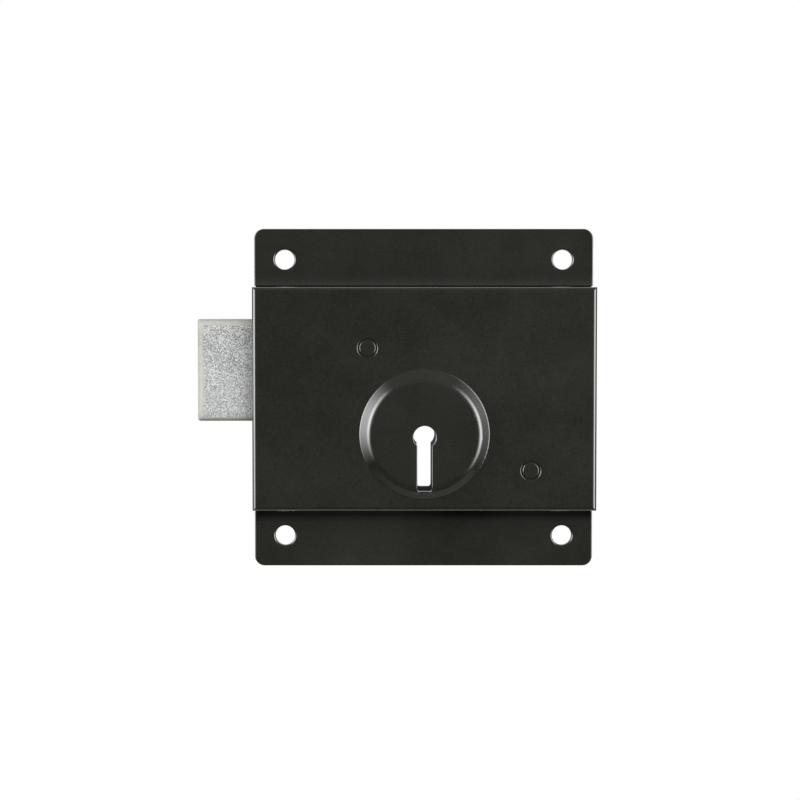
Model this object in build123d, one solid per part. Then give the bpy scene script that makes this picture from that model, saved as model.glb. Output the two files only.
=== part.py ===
from build123d import *
import os
from math import cos, hypot, radians, sin

# Press lock: a surface-fixed lever lock in a pressed-steel top-hat case.
# Row frame, in millimetres: X to the right, Z up, the front faces -Y. The mounting plane is y = 0,
# and the origin lies on it, at the centre of the four fixing holes. Depths are counted from the
# mounting plane towards the front, so a depth d lies at y = -d.

# Case pressing: the flanges reach past the box by a lip at the sides and a foot above and below
SHEET = 1.5
CASE_W = 100.0
CASE_H = 65.0
CASE_DEPTH = 17.0
FLANGE_LIP = 1.0
FLANGE_FOOT = 18.3
FLANGE_CORNER_R = 3.0
FRONT_BEND_R = 1.3
CORNER_R = 0.6
INNER_BEND_R = 0.5
FOOT_BEND_R = 0.8
EDGE_ROUND = 0.4
RELIEF_W = 0.5
RELIEF_H = 1.2
SEAM_GAP = 0.3
SEAM_START = 3.0

# Fixing holes, each the same inset from both edges of its flange corner
HOLE_INSET = 9.2
HOLE_R = 2.95
HOLE_EDGE_ROUND = 0.55

# Boss and keyhole: the boss stands just above the lower bend, a little higher than the key's axis
BOSS_BEND_GAP = 2.2
BOSS_ABOVE_KEY = 0.7
BOSS_FOOT_R = 18.8
BOSS_TOP_R = 16.0
BOSS_H = 2.5
BOSS_TOP_ROUND = 2.5
BOSS_FOOT_ROUND = 0.5
BOSS_WALL = 2.4
KEYHOLE_R = 3.25
KEYHOLE_SLOT_W = 4.2
KEYHOLE_SLOT_DROP = 15.7
KEYHOLE_CORNER_R = 0.8
KEYHOLE_EDGE_ROUND = 0.25

# Back plate
PLATE_T = 1.5
PLATE_RECESS = 0.5
PLATE_GAP = 0.2
PLATE_CORNER_R = 1.5

# Pillars: riveted to the front panel and to the back plate. The guide pillar stands clear of the
# bolt head when that is drawn back, and the key's axis and the pivot pillar stand behind it.
GUIDE_BEFORE_KEY = 16.5
GUIDE_ABOVE_KEY = 25.7
PIVOT_BEHIND_KEY = 30.8
PIVOT_BELOW_KEY = 9.8
PILLAR_R = 3.0
SHOULDER_R = 4.5
FRONT_TENON_R = 2.8
TENON_HOLE_ROUND = 0.3
PIN_END_R = 2.4
PIN_GROOVE = 0.45
PIN_ROUND = 0.3
BACK_TENON_R = 2.4
RIVET_CSK_R = 3.1
RIVET_CSK_DEPTH = 0.6
RIVET_CROWN = 0.2

# Bolt
THROW = 16.0
BOLT_PROUD = 0.4
BOLT_ABOVE_KEY = 4.4
BOLT_H = 29.9
BOLT_BACK_DEPTH = 3.0
BOLT_WINDOW_GAP = 0.3
BOLT_CORNER_R = 0.6
BOLT_EDGE_ROUND = 1.8
HEAD_INSIDE = 12.0
HEAD_GUIDE_GAP = 1.0
LAP = 10.0
TAIL_T = 4.0
TAIL_BEHIND_KEY = 22.0
TAIL_CORNER_R = 2.0
GUIDE_SLOT_GAP = 0.1
GUIDE_SLOT_PLAY = 0.3
BOLT_RIVET_R = 1.75
BOLT_RIVET_HEAD_R = 3.0
BOLT_RIVET_HEAD_H = 1.1
BOLT_RIVET_DOME = 0.8
BOLT_RIVET_PITCH = 17.0
BOLT_RIVET_PANEL_GAP = 1.4

# Key action: the bit's radius sets the talon notch in the tail and the levers' belly
BIT_R = 15.2
BIT_HALF_T = 1.5
BIT_GAP = 0.6
TALON_PLAY = 0.3
TALON_CORNER_R = 0.6
LEAD_IN = 9.2
BELLY_LEFT_DEG = 16.0
BELLY_RIGHT_DEG = 24.0

# Stump and levers
STUMP_BEFORE_KEY = 4.0
STUMP_ABOVE_KEY = 22.9
STUMP_R = 2.0
STUMP_TENON_R = 1.6
LIFT_DEG = 12.0
LEVER_T = 2.0
LEVER_TAIL_GAP = 1.0
LEVER_GAP = 0.1
SEPARATOR_T = 0.6
STUMP_OVERRUN = 0.5
EYE_R = 6.5
PIVOT_BORE_GAP = 0.05
SHOULDER_BEND_R = 5.5
SHOULDER_BEND_INSET = 0.8
LEVER_LEFT_RIM = 2.8
LEVER_TOP_RIM = 4.85
POCKET_GAP = 0.4
POCKET_TOP_GAP = 0.15
TOOTH_GAP = 0.5
TOOTH_LIFT = 0.85
TOOTH_EASE = 0.8
TOOTH_EASE_SHARE = 0.75
GATE_GAP = 0.35
SPACER_R = 5.0

# Lever springs
SPRING_T = 0.4
SPRING_W = 1.5
SPRING_SEAT_DEPTH = 2.5
SPRING_SEAT_GAP = 0.05
SPRING_WALL_GAP = 0.2
SPRING_NECK_SHARE = 0.12
SPRING_CROOK_BACK_SHARE = 0.3
SPRING_CROOK_RISE_SHARE = 0.42

# Two places closer than this are one
SAME_PLACE = 0.001

# Places that follow from the sizes above
PANEL_INNER = CASE_DEPTH - SHEET
PLATE_FRONT = PLATE_RECESS + PLATE_T
FLANGE_W = CASE_W + 2 * FLANGE_LIP
FLANGE_H = CASE_H + 2 * FLANGE_FOOT
HOLE_PITCH_X = FLANGE_W - 2 * HOLE_INSET
HOLE_PITCH_Z = FLANGE_H - 2 * HOLE_INSET
CASE_LEFT_X = -CASE_W / 2
CASE_INNER_TOP_Z = CASE_H / 2 - SHEET
BOSS_Z = -CASE_H / 2 + FRONT_BEND_R + BOSS_BEND_GAP + BOSS_FOOT_R
KEY_Z = BOSS_Z - BOSS_ABOVE_KEY
GUIDE_Z = KEY_Z + GUIDE_ABOVE_KEY
PIVOT_Z = KEY_Z - PIVOT_BELOW_KEY
STUMP_Z = KEY_Z + STUMP_ABOVE_KEY
BOLT_BOTTOM_Z = KEY_Z + BOLT_ABOVE_KEY
HEAD_INNER_X = CASE_LEFT_X + HEAD_INSIDE
GUIDE_X = HEAD_INNER_X + THROW + HEAD_GUIDE_GAP + SHOULDER_R
KEY_X = GUIDE_X + GUIDE_BEFORE_KEY
PIVOT_X = KEY_X + PIVOT_BEHIND_KEY
STUMP_X = KEY_X - STUMP_BEFORE_KEY
HEAD_END_X = CASE_LEFT_X - THROW - BOLT_PROUD
BOLT_TOP_Z = BOLT_BOTTOM_Z + BOLT_H
BOLT_FRONT_DEPTH = PANEL_INNER - BOLT_RIVET_PANEL_GAP - BOLT_RIVET_HEAD_H
BOLT_T = BOLT_FRONT_DEPTH - BOLT_BACK_DEPTH
TAIL_FRONT_DEPTH = BOLT_BACK_DEPTH + TAIL_T
BOLT_MIDDLE_Z = (BOLT_BOTTOM_Z + BOLT_TOP_Z) / 2
LAP_X = HEAD_INNER_X - LAP
BOLT_RIVET_X = LAP_X + LAP / 2
TAIL_RIGHT_X = KEY_X + TAIL_BEHIND_KEY
WINDOW_LEFT_X = STUMP_X - STUMP_R - POCKET_GAP
LEVER_LEFT_X = WINDOW_LEFT_X - LEVER_LEFT_RIM
WINDOW_RIGHT_X = STUMP_X + THROW + STUMP_R + POCKET_GAP
WINDOW_TOP_Z = STUMP_Z + STUMP_R + POCKET_TOP_GAP
LEVER_TOP_Z = WINDOW_TOP_Z + LEVER_TOP_RIM
SHOULDER_BEND_X = WINDOW_RIGHT_X - SHOULDER_BEND_INSET
LEVER_BACK_START = TAIL_FRONT_DEPTH + LEVER_TAIL_GAP
LEVER_BACK_END = LEVER_BACK_START + LEVER_T
SEPARATOR_START = LEVER_BACK_END + LEVER_GAP
LEVER_FRONT_START = SEPARATOR_START + SEPARATOR_T + LEVER_GAP
LEVER_FRONT_END = LEVER_FRONT_START + LEVER_T
PIVOT_SHOULDER_START = LEVER_FRONT_END + LEVER_GAP
GUIDE_SHOULDER_START = TAIL_FRONT_DEPTH + LEVER_GAP


def slab(face, start, end):
    """Return the solid of an XZ face between two depths."""
    return extrude(Plane.XZ.offset(start) * face, end - start)


def disc(x, z, radius, start, end):
    """Return a round solid along the depth, centred at x, z."""
    return slab(Pos(x, z) * Circle(radius), start, end)


def block(x0, x1, z0, z1, start, end):
    """Return a square-cornered solid between two corners and two depths."""
    face = Pos((x0 + x1) / 2, (z0 + z1) / 2) * Rectangle(x1 - x0, z1 - z0)
    return slab(face, start, end)


def edges_at_depth(shape, depth, kind=None, along=None):
    """Return the edges that lie wholly in the plane of one depth."""
    found = ShapeList(
        e for e in shape.edges()
        if all(abs(y + depth) < SAME_PLACE for y in (e.bounding_box().min.Y, e.bounding_box().max.Y))
    )
    if along is not None:
        found = found.filter_by(along)
    return [e for e in found if kind is None or e.geom_type == kind]


def keyhole_face():
    """Return the keyhole's outline: a round with a slot that drops from its centre."""
    slot = Pos(KEY_X, KEY_Z - KEYHOLE_SLOT_DROP / 2) * Rectangle(KEYHOLE_SLOT_W, KEYHOLE_SLOT_DROP)
    lower_corners = slot.vertices().sort_by(Axis.Y)[:2]
    slot = fillet(lower_corners, KEYHOLE_CORNER_R)
    return slot + Pos(KEY_X, KEY_Z) * Circle(KEYHOLE_R)


def boss_cone(inset, end):
    """Return the boss's cone, drawn in by an inset, from the panel's inner face up to a depth."""
    spread = (BOSS_FOOT_R - BOSS_TOP_R) / BOSS_H
    top_depth = CASE_DEPTH + BOSS_H
    start_r = BOSS_TOP_R + (top_depth - PANEL_INNER) * spread - inset
    end_r = BOSS_TOP_R + (top_depth - end) * spread - inset
    profile = Polygon(
        (0, -PANEL_INNER), (start_r, -PANEL_INNER), (end_r, -end), (0, -end), align=None
    )
    return Pos(KEY_X, 0, BOSS_Z) * revolve(profile, Axis.Y)


def round_rims(shape, depth, radius):
    """Return the shape with the rims of its round holes at one depth rounded."""
    rims = [e for e in edges_at_depth(shape, depth, GeomType.CIRCLE) if e.is_closed]
    return fillet(rims, radius)


def sheet_prism():
    """Return the top-hat section of the sheet, drawn through at the flanges' full width."""
    flange_z, wall_z, inner_z = FLANGE_H / 2, CASE_H / 2, CASE_INNER_TOP_Z
    section = Polygon(
        (0, flange_z), (-SHEET, flange_z), (-SHEET, wall_z), (-CASE_DEPTH, wall_z),
        (-CASE_DEPTH, -wall_z), (-SHEET, -wall_z), (-SHEET, -flange_z), (0, -flange_z),
        (0, -inner_z), (-PANEL_INNER, -inner_z), (-PANEL_INNER, inner_z), (0, inner_z), align=None,
    )
    bends = {
        (CASE_DEPTH, wall_z): FRONT_BEND_R,
        (PANEL_INNER, inner_z): INNER_BEND_R,
        (SHEET, wall_z): FOOT_BEND_R,
        (0, inner_z): FOOT_BEND_R + SHEET,
    }
    for (depth, z), radius in bends.items():
        corners = [
            v for v in section.vertices() if hypot(v.X + depth, abs(v.Y) - z) < SAME_PLACE
        ]
        section = fillet(corners, radius)
    return extrude(Plane.YZ * section, FLANGE_W / 2, both=True)


def end_wall(side):
    """Return one folded end wall: side is 1 for the right and -1 for the left."""
    x0, x1 = sorted((side * CASE_W / 2, side * (CASE_W / 2 - SHEET)))
    wall = block(x0, x1, -CASE_H / 2, CASE_H / 2, 0, CASE_DEPTH)
    return fillet(edges_at_depth(wall, CASE_DEPTH, GeomType.LINE, Axis.X), FRONT_BEND_R)


def front_outline():
    """Return the outline seen from the front: box, necks beside the bend reliefs, and flanges."""
    outline = RectangleRounded(CASE_W, CASE_H, CORNER_R)
    neck_w = FLANGE_W - 2 * RELIEF_W
    flange_foot_z = CASE_H / 2 + RELIEF_H
    outline += Rectangle(neck_w, FLANGE_H - 2 * FLANGE_CORNER_R)
    for side in (-1, 1):
        flange_h = FLANGE_H / 2 - flange_foot_z
        flange = Rectangle(FLANGE_W, flange_h)
        corners = flange.vertices().sort_by(Axis.Y)
        flange = fillet(corners[-2:] if side > 0 else corners[:2], FLANGE_CORNER_R)
        outline += Pos(0, side * (flange_foot_z + flange_h / 2)) * flange
        for x in (-HOLE_PITCH_X / 2, HOLE_PITCH_X / 2):
            outline -= Pos(x, side * HOLE_PITCH_Z / 2) * Circle(HOLE_R)
    return outline


def plan_outline():
    """Return the outline seen from above: the box with its end bends, and the wider flanges."""
    box = Pos(0, -CASE_DEPTH / 2) * Rectangle(CASE_W, CASE_DEPTH)
    box = fillet(box.vertices().sort_by(Axis.Y)[:2], FRONT_BEND_R)
    return box + Pos(0, -SHEET / 2) * Rectangle(FLANGE_W, SHEET)


def make_case():
    """Return the one-piece case: box, flanges, boss, keyhole, bolt window and pillar holes."""
    case = sheet_prism() + end_wall(1) + end_wall(-1)
    case &= slab(front_outline(), 0, CASE_DEPTH)
    case &= extrude(plan_outline(), FLANGE_H / 2, both=True)
    outer_edges = [
        e for e in edges_at_depth(case, SHEET)
        if abs(e.center().Z) > CASE_H / 2 + RELIEF_H + EDGE_ROUND
        and e.length < FLANGE_W and not e.is_closed
    ]
    case = fillet(outer_edges, EDGE_ROUND)
    case = round_rims(case, SHEET, HOLE_EDGE_ROUND)
    for x, z in ((GUIDE_X, GUIDE_Z), (PIVOT_X, PIVOT_Z)):
        case -= disc(x, z, FRONT_TENON_R, PANEL_INNER, CASE_DEPTH)
    case = round_rims(case, CASE_DEPTH, TENON_HOLE_ROUND)
    case += boss_cone(0, CASE_DEPTH + BOSS_H)
    case = fillet(edges_at_depth(case, CASE_DEPTH + BOSS_H), BOSS_TOP_ROUND)
    foot = [
        e for e in edges_at_depth(case, CASE_DEPTH, GeomType.CIRCLE)
        if abs(e.radius - BOSS_FOOT_R) < SAME_PLACE
    ]
    case = fillet(foot, BOSS_FOOT_ROUND)
    case -= boss_cone(BOSS_WALL, PANEL_INNER + BOSS_H)
    case -= slab(keyhole_face(), PANEL_INNER, CASE_DEPTH + BOSS_H)
    case = fillet(edges_at_depth(case, CASE_DEPTH + BOSS_H), KEYHOLE_EDGE_ROUND)
    case -= block(
        CASE_LEFT_X, CASE_LEFT_X + SHEET, BOLT_BOTTOM_Z - BOLT_WINDOW_GAP, BOLT_TOP_Z + BOLT_WINDOW_GAP,
        BOLT_BACK_DEPTH - BOLT_WINDOW_GAP, BOLT_FRONT_DEPTH + BOLT_WINDOW_GAP,
    )
    for end in (-1, 1):
        for side in (-1, 1):
            wall_x = sorted((end * CASE_W / 2, end * (CASE_W / 2 - SHEET)))
            seam_z = sorted((side * CASE_INNER_TOP_Z, side * (CASE_INNER_TOP_Z - SEAM_GAP)))
            case -= block(*wall_x, *seam_z, 0, CASE_DEPTH - SEAM_START)
    return case


def make_back_plate():
    """Return the plate that closes the back, with the matching keyhole and the pillars' holes."""
    face = RectangleRounded(
        CASE_W - 2 * (SHEET + PLATE_GAP), CASE_H - 2 * (SHEET + PLATE_GAP), PLATE_CORNER_R
    )
    plate = slab(face - keyhole_face(), PLATE_RECESS, PLATE_FRONT)
    for x, z in ((GUIDE_X, GUIDE_Z), (PIVOT_X, PIVOT_Z)):
        plate -= back_tenon(x, z)
    return plate


def back_tenon(x, z):
    """Return the riveted back end of a pillar, which fills its countersunk hole in the plate."""
    profile = Polygon(
        (0, -PLATE_FRONT), (BACK_TENON_R, -PLATE_FRONT),
        (BACK_TENON_R, -PLATE_RECESS - RIVET_CSK_DEPTH), (RIVET_CSK_R, -PLATE_RECESS),
        (0, -PLATE_RECESS + RIVET_CROWN), align=None,
    )
    return Pos(x, 0, z) * revolve(profile, Axis.Y)


def make_pillar(x, z, shoulder_start):
    """Return a pillar: front pin end, shoulder against the panel, spindle and riveted back end."""
    pin = disc(x, z, PIN_END_R, CASE_DEPTH - PIN_GROOVE, CASE_DEPTH)
    pin = fillet(edges_at_depth(pin, CASE_DEPTH), PIN_ROUND)
    pillar = pin + disc(x, z, FRONT_TENON_R, PANEL_INNER, CASE_DEPTH - PIN_GROOVE)
    pillar += disc(x, z, SHOULDER_R, shoulder_start, PANEL_INNER)
    pillar += disc(x, z, PILLAR_R, PLATE_FRONT, shoulder_start)
    return pillar + back_tenon(x, z)


def make_bolt_head():
    """Return the cast deadbolt with its rounded edges and the lap that takes the tail."""
    length = HEAD_INNER_X - HEAD_END_X
    middle_x = (HEAD_INNER_X + HEAD_END_X) / 2
    middle_depth = (BOLT_BACK_DEPTH + BOLT_FRONT_DEPTH) / 2
    front = Rectangle(length, BOLT_H)
    front = fillet(front.vertices().sort_by(Axis.X)[:2], BOLT_CORNER_R)
    plan = Rectangle(length, BOLT_T)
    plan = fillet(plan.vertices().sort_by(Axis.X)[:2], BOLT_EDGE_ROUND)
    side = RectangleRounded(BOLT_T, BOLT_H, BOLT_EDGE_ROUND)
    head = slab(Pos(middle_x, BOLT_MIDDLE_Z) * front, BOLT_BACK_DEPTH, BOLT_FRONT_DEPTH)
    head &= extrude(Pos(middle_x, -middle_depth) * plan, BOLT_H, both=True)
    head &= extrude(Plane.YZ * Pos(-middle_depth, BOLT_MIDDLE_Z) * side, CASE_W, both=True)
    head -= block(LAP_X, HEAD_INNER_X, BOLT_BOTTOM_Z, BOLT_TOP_Z, BOLT_BACK_DEPTH, TAIL_FRONT_DEPTH)
    for z in bolt_rivet_heights():
        head -= disc(BOLT_RIVET_X, z, BOLT_RIVET_R, TAIL_FRONT_DEPTH, BOLT_FRONT_DEPTH)
    return head


def bolt_rivet_heights():
    """Return the heights of the two rivets that join the bolt's head and tail."""
    return [BOLT_MIDDLE_Z - BOLT_RIVET_PITCH / 2, BOLT_MIDDLE_Z + BOLT_RIVET_PITCH / 2]


def make_bolt_tail():
    """Return the flat tail with the guide slot, the talon notch, and the rivet and stump holes."""
    face = Rectangle(TAIL_RIGHT_X - LAP_X, BOLT_H)
    face = Pos((LAP_X + TAIL_RIGHT_X) / 2, BOLT_MIDDLE_Z) * face
    face = fillet(face.vertices().sort_by(Axis.X)[-2:], TAIL_CORNER_R)
    slot_half_h = PILLAR_R + GUIDE_SLOT_GAP
    slot_left = GUIDE_X - THROW - PILLAR_R - GUIDE_SLOT_PLAY
    slot_right = GUIDE_X + PILLAR_R + GUIDE_SLOT_PLAY
    slot = Rectangle(slot_right - slot_left, 2 * slot_half_h)
    slot = fillet(slot.vertices(), PILLAR_R)
    face -= Pos((slot_left + slot_right) / 2, GUIDE_Z) * slot
    notch_reach = (BIT_R**2 - (BOLT_BOTTOM_Z - KEY_Z) ** 2) ** 0.5 + BIT_HALF_T
    notch_left = KEY_X - notch_reach - TALON_PLAY
    notch_right = KEY_X + notch_reach - THROW
    notch_top = KEY_Z + BIT_R + BIT_GAP
    notch_h = notch_top - BOLT_BOTTOM_Z
    notch = Pos((notch_left + notch_right) / 2, notch_top - notch_h / 2) * Rectangle(
        notch_right - notch_left, notch_h
    )
    notch = fillet(notch.vertices().sort_by(Axis.Y)[-2:], TALON_CORNER_R)
    face -= notch
    face -= Pos(STUMP_X, STUMP_Z) * Circle(STUMP_TENON_R)
    for z in bolt_rivet_heights():
        face -= Pos(BOLT_RIVET_X, z) * Circle(BOLT_RIVET_R)
    return slab(face, BOLT_BACK_DEPTH, TAIL_FRONT_DEPTH)


def make_bolt_rivets():
    """Return the two rivets, each a shank with a rounded head on the front of the lap."""
    rivets = []
    head_end = BOLT_FRONT_DEPTH + BOLT_RIVET_HEAD_H
    for z in bolt_rivet_heights():
        head = disc(BOLT_RIVET_X, z, BOLT_RIVET_HEAD_R, BOLT_FRONT_DEPTH, head_end)
        head = fillet(edges_at_depth(head, head_end), BOLT_RIVET_HEAD_H * BOLT_RIVET_DOME)
        rivets.append(head + disc(BOLT_RIVET_X, z, BOLT_RIVET_R, BOLT_BACK_DEPTH, BOLT_FRONT_DEPTH))
    return rivets


def make_bolt_stump():
    """Return the stump: a pin through both levers with a tenon set in the tail."""
    stump = disc(STUMP_X, STUMP_Z, STUMP_R, TAIL_FRONT_DEPTH, LEVER_FRONT_END + STUMP_OVERRUN)
    return stump + disc(STUMP_X, STUMP_Z, STUMP_TENON_R, BOLT_BACK_DEPTH, TAIL_FRONT_DEPTH)


def turned(x, z, degrees):
    """Return a point turned about the pivot, positive degrees lifting the levers."""
    dx, dz = x - PIVOT_X, z - PIVOT_Z
    c, s = cos(radians(degrees)), sin(radians(degrees))
    return (PIVOT_X + dx * c + dz * s, PIVOT_Z - dx * s + dz * c)


def stump_in_lever(share):
    """Return the stump's place in the lever's frame at a share of the bolt's throw."""
    return turned(STUMP_X + THROW * share, STUMP_Z, -LIFT_DEG * share)


def gate_window():
    """Return the lever's window: two pockets and, below the tooth between them, the gate."""
    end_x, end_z = stump_in_lever(1.0)
    ease_x, ease_z = stump_in_lever(TOOTH_EASE_SHARE)
    bottom = end_z - STUMP_R - GATE_GAP
    tooth_left = STUMP_X + STUMP_R + TOOTH_GAP
    tooth_right = STUMP_X + THROW - STUMP_R - TOOTH_GAP
    return Polygon(
        (WINDOW_LEFT_X, bottom), (WINDOW_RIGHT_X, bottom), (WINDOW_RIGHT_X, WINDOW_TOP_Z),
        (tooth_right, WINDOW_TOP_Z), (tooth_right, end_z + STUMP_R + GATE_GAP),
        (ease_x + TOOTH_EASE, ease_z + STUMP_R + GATE_GAP), (tooth_left, STUMP_Z + TOOTH_LIFT),
        (tooth_left, WINDOW_TOP_Z), (WINDOW_LEFT_X, WINDOW_TOP_Z), align=None,
    )


def belly_point(degrees):
    """Return a point of the belly, the bit's circle turned down with the levers at full lift."""
    centre_x, centre_z = turned(KEY_X, KEY_Z, -LIFT_DEG)
    return (centre_x + BIT_R * sin(radians(degrees)), centre_z + BIT_R * cos(radians(degrees)))


def lever_face():
    """Return a lever's outline: eye, arm, gate window and the belly that the key lifts."""
    belly_left = belly_point(-BELLY_LEFT_DEG)
    belly_right = belly_point(BELLY_RIGHT_DEG)
    clear_z = KEY_Z + (BIT_R**2 - LEAD_IN**2) ** 0.5
    clear_x = KEY_X + LEAD_IN + BIT_GAP
    outline = Polyline(
        belly_left, (LEVER_LEFT_X, clear_z + BIT_GAP), (LEVER_LEFT_X, LEVER_TOP_Z),
        (SHOULDER_BEND_X, LEVER_TOP_Z), (SHOULDER_BEND_X, clear_z), (clear_x, clear_z), belly_right,
    )
    belly = ThreePointArc(belly_right, belly_point(0), belly_left)
    head = make_face(outline + belly)
    eye = Pos(PIVOT_X, PIVOT_Z) * Circle(EYE_R)
    bend = Pos(SHOULDER_BEND_X, LEVER_TOP_Z - SHOULDER_BEND_R) * Circle(SHOULDER_BEND_R)
    face = head + make_hull(eye.edges() + bend.edges())
    face -= gate_window()
    face -= Pos(PIVOT_X, PIVOT_Z) * Circle(PILLAR_R + PIVOT_BORE_GAP)
    return face - spring_seat()


def spring_seat():
    """Return the narrow slot in a lever's top edge that grips its spring."""
    slot = Rectangle(SPRING_T + 2 * SPRING_SEAT_GAP, SPRING_SEAT_DEPTH)
    return Pos(SHOULDER_BEND_X, LEVER_TOP_Z - SPRING_SEAT_DEPTH / 2) * slot


def make_lever(start):
    """Return one lever whose back face is at the given depth."""
    return slab(lever_face(), start, start + LEVER_T)


def make_lever_spring(lever_start):
    """Return one spring: a thin strip from the lever's slot to the underside of the case's top."""
    tip_z = CASE_INNER_TOP_Z - SPRING_WALL_GAP - SPRING_T / 2
    rise = tip_z - LEVER_TOP_Z
    root = (SHOULDER_BEND_X, LEVER_TOP_Z - SPRING_SEAT_DEPTH + SPRING_SEAT_GAP)
    neck = (SHOULDER_BEND_X, LEVER_TOP_Z + rise * SPRING_NECK_SHARE)
    shoulder = (
        SHOULDER_BEND_X - rise * SPRING_CROOK_BACK_SHARE,
        LEVER_TOP_Z + rise * SPRING_CROOK_RISE_SHARE,
    )
    stem = Line(root, neck)
    crook = TangentArc(neck, shoulder, tangent=(0, 1))
    leaf = TangentArc(shoulder, (GUIDE_X + SHOULDER_R, tip_z), tangent=crook % 1)
    strip = trace(stem + crook + leaf, SPRING_T)
    middle = lever_start + LEVER_T / 2
    return slab(strip, middle - SPRING_W / 2, middle + SPRING_W / 2)


def make_ring(x, z, outer_r, start, end):
    """Return a loose ring on a pillar's spindle."""
    face = Circle(outer_r) - Circle(PILLAR_R + PIVOT_BORE_GAP)
    return slab(Pos(x, z) * face, start, end)


parts = {
    "case": make_case(),
    "back_plate": make_back_plate(),
    "guide_pillar": make_pillar(GUIDE_X, GUIDE_Z, GUIDE_SHOULDER_START),
    "pivot_pillar": make_pillar(PIVOT_X, PIVOT_Z, PIVOT_SHOULDER_START),
    "bolt_head": make_bolt_head(),
    "bolt_tail": make_bolt_tail(),
    "bolt_rivets": Compound(children=make_bolt_rivets()),
    "bolt_stump": make_bolt_stump(),
    "lever_back": make_lever(LEVER_BACK_START),
    "lever_front": make_lever(LEVER_FRONT_START),
    "lever_spring_back": make_lever_spring(LEVER_BACK_START),
    "lever_spring_front": make_lever_spring(LEVER_FRONT_START),
    "lever_separator": make_ring(
        PIVOT_X, PIVOT_Z, EYE_R, SEPARATOR_START, SEPARATOR_START + SEPARATOR_T
    ),
    "pivot_spacer": make_ring(
        PIVOT_X, PIVOT_Z, SPACER_R, PLATE_FRONT, LEVER_BACK_START - LEVER_GAP
    ),
    "guide_washer": make_ring(
        GUIDE_X, GUIDE_Z, SPACER_R, PLATE_FRONT, BOLT_BACK_DEPTH - LEVER_GAP
    ),
}

os.makedirs("parts", exist_ok=True)
for name, shape in parts.items():
    export_step(shape, f"parts/{name}.step")
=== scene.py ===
"""Press lock: its finishes, the pieces worked out as surfaces, and the studio around it."""

import logging
import math
from dataclasses import dataclass, field
from enum import Enum
from typing import Any

import bpy
import numpy as np
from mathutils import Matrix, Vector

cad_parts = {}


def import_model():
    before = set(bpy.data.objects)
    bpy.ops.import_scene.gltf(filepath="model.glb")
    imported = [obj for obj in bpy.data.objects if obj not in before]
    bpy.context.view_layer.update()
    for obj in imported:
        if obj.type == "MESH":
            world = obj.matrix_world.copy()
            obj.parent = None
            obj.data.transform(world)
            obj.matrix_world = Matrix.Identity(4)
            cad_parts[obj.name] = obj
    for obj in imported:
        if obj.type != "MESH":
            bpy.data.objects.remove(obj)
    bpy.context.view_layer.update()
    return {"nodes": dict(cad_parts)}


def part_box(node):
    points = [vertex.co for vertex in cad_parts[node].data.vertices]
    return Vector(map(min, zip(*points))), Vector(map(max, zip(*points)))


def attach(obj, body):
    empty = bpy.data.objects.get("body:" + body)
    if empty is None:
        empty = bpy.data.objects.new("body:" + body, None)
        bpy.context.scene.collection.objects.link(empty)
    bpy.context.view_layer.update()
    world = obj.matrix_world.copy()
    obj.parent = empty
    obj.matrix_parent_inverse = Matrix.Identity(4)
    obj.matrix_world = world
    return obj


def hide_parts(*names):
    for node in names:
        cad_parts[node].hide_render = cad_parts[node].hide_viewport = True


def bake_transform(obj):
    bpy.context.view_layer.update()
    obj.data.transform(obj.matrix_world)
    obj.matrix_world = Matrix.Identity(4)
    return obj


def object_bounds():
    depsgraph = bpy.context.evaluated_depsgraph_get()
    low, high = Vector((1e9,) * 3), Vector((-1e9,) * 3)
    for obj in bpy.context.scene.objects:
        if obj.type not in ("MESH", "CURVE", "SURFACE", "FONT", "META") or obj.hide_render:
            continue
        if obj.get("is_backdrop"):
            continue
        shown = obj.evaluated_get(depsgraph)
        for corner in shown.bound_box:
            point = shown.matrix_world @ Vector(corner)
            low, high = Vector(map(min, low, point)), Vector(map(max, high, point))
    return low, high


LOG = logging.getLogger("press_lock")
MM = 0.001
SHARP_ANGLE = math.radians(32)
Colour = tuple[float, float, float, float]
Pair = tuple[float, float]
Point = tuple[float, float, float]
Socket = bpy.types.NodeSocket
WHITE: Colour = (1.0, 1.0, 1.0, 1.0)


class Slot(Enum):
    """Material slots of the model."""

    BLACK_COAT = "black_coat"
    ZINC_CASTING = "zinc_casting"
    PLATED_STEEL = "plated_steel"
    PILLAR_STEEL = "pillar_steel"
    LEVER_BRASS = "lever_brass"
    SPRING_STEEL = "spring_steel"


class Body(Enum):
    """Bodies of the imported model."""

    CASE = "case"
    BOLT = "bolt"
    LEVER_BACK = "lever_back"
    LEVER_FRONT = "lever_front"


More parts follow.
